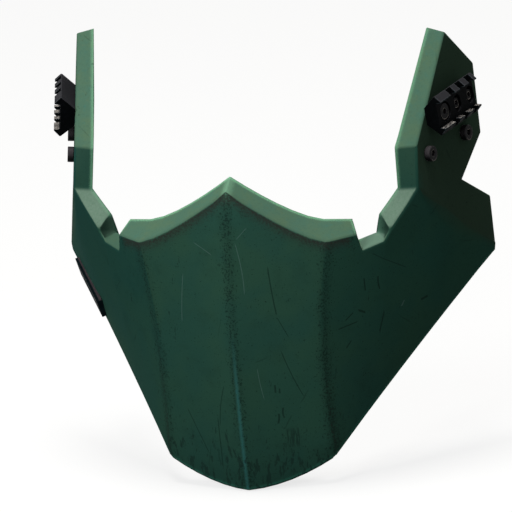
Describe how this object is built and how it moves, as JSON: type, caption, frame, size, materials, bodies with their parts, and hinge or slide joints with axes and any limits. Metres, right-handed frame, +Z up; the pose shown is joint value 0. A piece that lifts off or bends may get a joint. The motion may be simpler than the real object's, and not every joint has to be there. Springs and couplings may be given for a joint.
{
  "type": "helmet mandible guard",
  "caption": "Moulded jaw guard for a high-cut helmet: keeled front with a peaked nose rim, stepped cheeks and flat arms that carry slotted accessory rails and clamp screws.",
  "frame": {"origin": "midway between the wearer's left and right pairs of clamp screws, on the line of the helmet's side rails", "axes": "+X towards the wearer's left, +Y towards the wearer's back, +Z up"},
  "size_m": [0.2334, 0.1241, 0.2258],
  "materials": {
    "shell": "satin green paint on a moulded laminate, worn along the edges",
    "rail": "black anodised, scuffed on the lugs",
    "rail_screw": "black oxide, worn bright on the sockets",
    "insert": "plain turned brass",
    "bush": "plain turned steel",
    "backing": "phosphated steel plate",
    "clamp_screw": "black oxide",
    "nut": "phosphated steel",
    "plate": "black powder coat",
    "plate_screw": "black oxide",
    "hook": "woven hook tape",
    "foam": "knitted cover over soft foam"
  },
  "bodies": {
    "guard": {"guard_shell": "shell", "accessory_rail_left": "rail", "accessory_rail_right": "rail", "rail_screws_left": "rail_screw", "rail_screws_right": "rail_screw", "rail_inserts_left": "insert", "rail_inserts_right": "insert", "arm_bushes_left": "bush", "arm_bushes_right": "bush", "backing_plate_left": "backing", "backing_plate_right": "backing", "flank_plate": "plate", "flank_screws": "plate_screw", "flank_inserts": "insert", "chin_patch": "hook", "jaw_patch_left": "hook", "jaw_patch_right": "hook", "chin_pad": "foam", "jaw_pad_left": "foam", "jaw_pad_right": "foam"},
    "clamp_screw_front_left": {"clamp_screw_front_left": "clamp_screw"},
    "clamp_nut_front_left": {"clamp_nut_front_left": "nut"},
    "clamp_screw_rear_left": {"clamp_screw_rear_left": "clamp_screw"},
    "clamp_nut_rear_left": {"clamp_nut_rear_left": "nut"},
    "clamp_screw_front_right": {"clamp_screw_front_right": "clamp_screw"},
    "clamp_nut_front_right": {"clamp_nut_front_right": "nut"},
    "clamp_screw_rear_right": {"clamp_screw_rear_right": "clamp_screw"},
    "clamp_nut_rear_right": {"clamp_nut_rear_right": "nut"}
  },
  "joints": [
    {"name": "clamp_screw_front_left_turn", "type": "hinge", "parent": "guard", "child": "clamp_screw_front_left", "pos_m": [0.09637, -0.01866, 0], "axis": [0.9614, -0.254, 0.1061], "range_deg": [0, 1080]},
    {"name": "clamp_nut_front_left_travel", "type": "slide", "parent": "guard", "child": "clamp_nut_front_left", "axis": [-0.9614, 0.254, -0.1061], "range_m": [0, 0.0024]},
    {"name": "clamp_screw_rear_left_turn", "type": "hinge", "parent": "guard", "child": "clamp_screw_rear_left", "pos_m": [0.10623, 0.01866, 0], "axis": [0.9614, -0.254, 0.1061], "range_deg": [0, 1080]},
    {"name": "clamp_nut_rear_left_travel", "type": "slide", "parent": "guard", "child": "clamp_nut_rear_left", "axis": [-0.9614, 0.254, -0.1061], "range_m": [0, 0.0024]},
    {"name": "clamp_screw_front_right_turn", "type": "hinge", "parent": "guard", "child": "clamp_screw_front_right", "pos_m": [-0.09637, -0.01866, 0], "axis": [-0.9614, -0.254, 0.1061], "range_deg": [0, 1080]},
    {"name": "clamp_nut_front_right_travel", "type": "slide", "parent": "guard", "child": "clamp_nut_front_right", "axis": [0.9614, 0.254, -0.1061], "range_m": [0, 0.0024]},
    {"name": "clamp_screw_rear_right_turn", "type": "hinge", "parent": "guard", "child": "clamp_screw_rear_right", "pos_m": [-0.10623, 0.01866, 0], "axis": [-0.9614, -0.254, 0.1061], "range_deg": [0, 1080]},
    {"name": "clamp_nut_rear_right_travel", "type": "slide", "parent": "guard", "child": "clamp_nut_rear_right", "axis": [0.9614, 0.254, -0.1061], "range_m": [0, 0.0024]}
  ],
  "couplings": [
    {"joint": "clamp_screw_front_left_turn", "follows": "clamp_nut_front_left_travel", "rad_per_m": 7853.9},
    {"joint": "clamp_screw_rear_left_turn", "follows": "clamp_nut_rear_left_travel", "rad_per_m": 7853.9},
    {"joint": "clamp_screw_front_right_turn", "follows": "clamp_nut_front_right_travel", "rad_per_m": 7853.9},
    {"joint": "clamp_screw_rear_right_turn", "follows": "clamp_nut_rear_right_travel", "rad_per_m": 7853.9}
  ]
}
